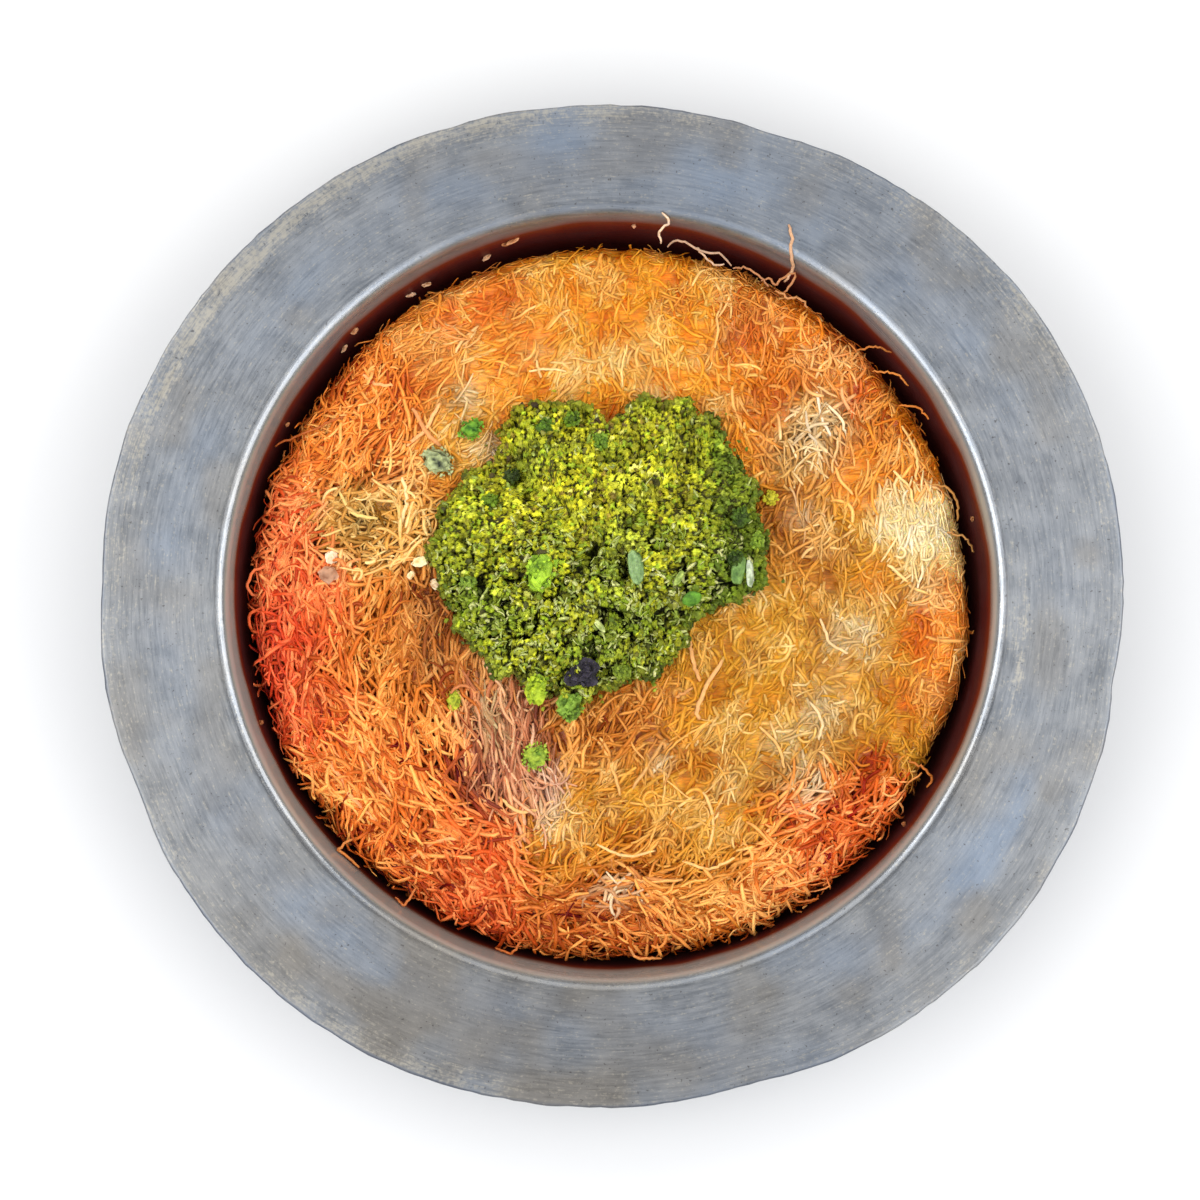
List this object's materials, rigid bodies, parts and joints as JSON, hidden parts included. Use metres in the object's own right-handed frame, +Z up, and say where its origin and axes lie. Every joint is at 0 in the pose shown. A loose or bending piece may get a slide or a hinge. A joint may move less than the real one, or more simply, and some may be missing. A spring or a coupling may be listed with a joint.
{
  "type": "kunafa in its tray",
  "caption": "Round shredded-pastry kunafa topped with a heap of ground pistachio, in the shallow broad-rimmed metal tray it was baked in.",
  "frame": {"origin": "middle of the tray's flat base, on the axis of the tray's round well", "axes": "+Z up out of the tray, +Y away from the eater, the top of the reference view, +X to the right"},
  "size_m": [0.1803, 0.1771, 0.0249],
  "materials": {
    "tray_metal": "satin, worn and scratched, stained where the pastry baked",
    "baked_pastry": null,
    "ground_pistachio": null
  },
  "bodies": {
    "root": {"kunafa": "baked_pastry", "pistachio_heap": "ground_pistachio", "tray": "tray_metal"}
  },
  "joints": []
}
